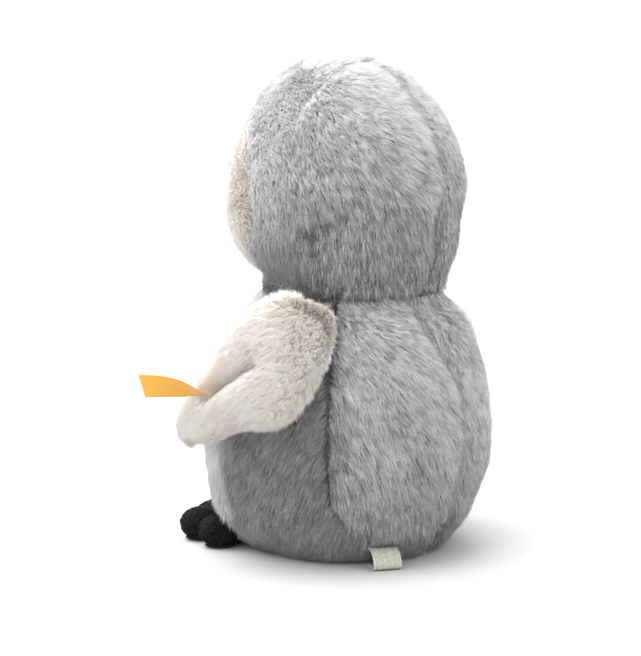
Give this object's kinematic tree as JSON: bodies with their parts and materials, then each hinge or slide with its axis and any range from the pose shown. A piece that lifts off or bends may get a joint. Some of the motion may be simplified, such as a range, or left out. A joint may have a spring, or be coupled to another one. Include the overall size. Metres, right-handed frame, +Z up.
{
  "type": "plush penguin",
  "caption": "Sitting plush penguin chick with a round head, flipper wings, short black feet and a soft body that rests on a flat base.",
  "frame": {"origin": "centre of the flat base panel that the toy sits on, at floor level", "axes": "+Z up, -Y is the front that the penguin faces, +X is the penguin's left side"},
  "size_m": [0.1837, 0.1356, 0.2245],
  "materials": {
    "grey_plush": "matte",
    "light_plush": "matte",
    "cream_plush": "matte",
    "black_velour": "matte",
    "black_eye": "gloss",
    "white_plastic": "matte",
    "plastic_pellets": "satin",
    "pouch_cloth": "matte",
    "polyester_fill": "matte",
    "yellow_ribbon": "satin",
    "ribbed_label_tape": "satin"
  },
  "bodies": {
    "torso": {"base_panel": "grey_plush", "belly_panel": "light_plush", "left_side_panel": "grey_plush", "right_side_panel": "grey_plush", "left_back_panel": "grey_plush", "right_back_panel": "grey_plush", "body_stuffing": "polyester_fill", "pellet_pouch": "pouch_cloth", "pellets": "plastic_pellets"},
    "neck": {"neck_stuffing": "polyester_fill"},
    "head": {"left_face_panel": "cream_plush", "right_face_panel": "cream_plush", "left_crown_panel": "grey_plush", "right_crown_panel": "grey_plush", "left_head_back_panel": "grey_plush", "right_head_back_panel": "grey_plush", "head_stuffing": "polyester_fill", "left_eye": "black_eye", "right_eye": "black_eye", "left_eye_washer": "white_plastic", "right_eye_washer": "white_plastic", "beak_upper_panel": "black_velour", "beak_lower_panel": "black_velour", "beak_stuffing": "polyester_fill"},
    "left_wing": {"left_wing_outer_panel": "cream_plush", "left_wing_inner_panel": "cream_plush", "left_wing_stuffing": "polyester_fill"},
    "right_wing": {"right_wing_outer_panel": "cream_plush", "right_wing_inner_panel": "cream_plush", "right_wing_stuffing": "polyester_fill"},
    "left_foot": {"left_foot_upper_panel": "black_velour", "left_foot_sole_panel": "black_velour", "left_foot_stuffing": "polyester_fill"},
    "right_foot": {"right_foot_upper_panel": "black_velour", "right_foot_sole_panel": "black_velour", "right_foot_stuffing": "polyester_fill"},
    "flag_tag": {"flag_tag": "yellow_ribbon"},
    "care_label": {"care_label": "ribbed_label_tape"}
  },
  "joints": [
    {"name": "head_turn", "type": "hinge", "parent": "torso", "child": "neck", "pos_m": [0, 0, 0.088], "axis": [0, 0, 1], "range_deg": [-25, 25], "stiffness_Nm_per_rad": 0.12},
    {"name": "head_nod", "type": "hinge", "parent": "neck", "child": "head", "pos_m": [0, 0, 0.088], "axis": [1, 0, 0], "range_deg": [-7, 7], "stiffness_Nm_per_rad": 0.6},
    {"name": "left_wing_flap", "type": "hinge", "parent": "torso", "child": "left_wing", "pos_m": [0.04802, 0.02447, 0.1036], "axis": [-0.455, -0.2319, 0.8598], "range_deg": [-4, 70], "stiffness_Nm_per_rad": 0.03},
    {"name": "right_wing_flap", "type": "hinge", "parent": "torso", "child": "right_wing", "pos_m": [-0.04802, 0.02447, 0.1036], "axis": [-0.455, 0.2319, -0.8598], "range_deg": [-4, 70], "stiffness_Nm_per_rad": 0.03},
    {"name": "left_foot_lift", "type": "hinge", "parent": "torso", "child": "left_foot", "pos_m": [0.02505, -0.03858, 0.001], "axis": [-0.8387, -0.5446, 0], "range_deg": [0, 15], "stiffness_Nm_per_rad": 0.02},
    {"name": "right_foot_lift", "type": "hinge", "parent": "torso", "child": "right_foot", "pos_m": [-0.02505, -0.03858, 0.001], "axis": [-0.8387, 0.5446, 0], "range_deg": [0, 15], "stiffness_Nm_per_rad": 0.02},
    {"name": "flag_tag_swing", "type": "hinge", "parent": "left_wing", "child": "flag_tag", "pos_m": [0.0826, -0.012, 0.0778], "axis": [0, 0, 1], "range_deg": [-35, 35], "stiffness_Nm_per_rad": 0.0004},
    {"name": "care_label_swing", "type": "hinge", "parent": "torso", "child": "care_label", "pos_m": [0.02704, 0.03721, 0.00085], "axis": [0.809, -0.5878, 0], "range_deg": [0, 25], "stiffness_Nm_per_rad": 0.0004}
  ]
}
